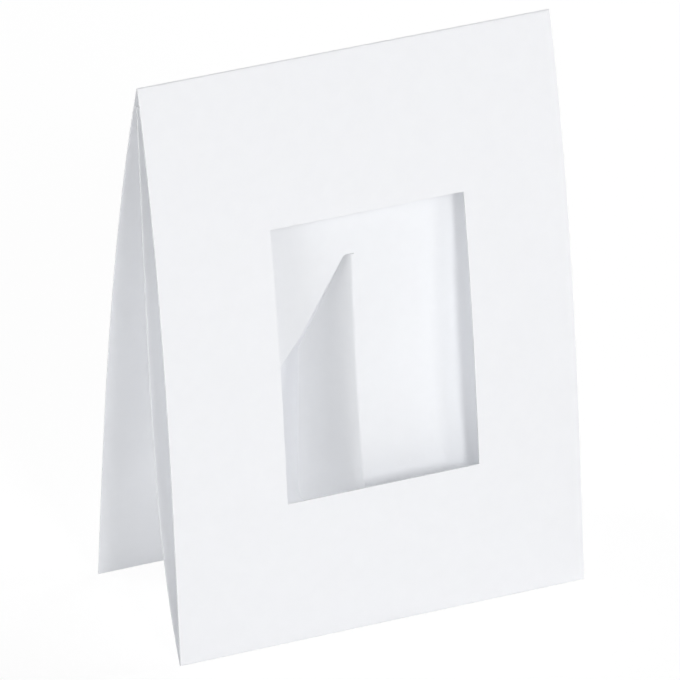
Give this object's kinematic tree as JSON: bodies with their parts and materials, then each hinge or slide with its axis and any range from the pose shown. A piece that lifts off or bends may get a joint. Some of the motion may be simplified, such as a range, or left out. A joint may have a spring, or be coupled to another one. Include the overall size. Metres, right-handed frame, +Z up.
{
  "type": "folded card photo frame",
  "caption": "Standing photo frame folded from a sheet of white card, with a rectangular window, a bowed liner and a strut cut from it.",
  "frame": {"origin": "on the ground, below the middle of the standing card", "axes": "+Z up, +Y to the back, so the window faces -Y, +X to the right as seen from the front"},
  "size_m": [0.125, 0.0596, 0.1676],
  "materials": {
    "white_card": "matt, smooth white card"
  },
  "bodies": {
    "root": {"folded_card": "white_card"}
  },
  "joints": []
}
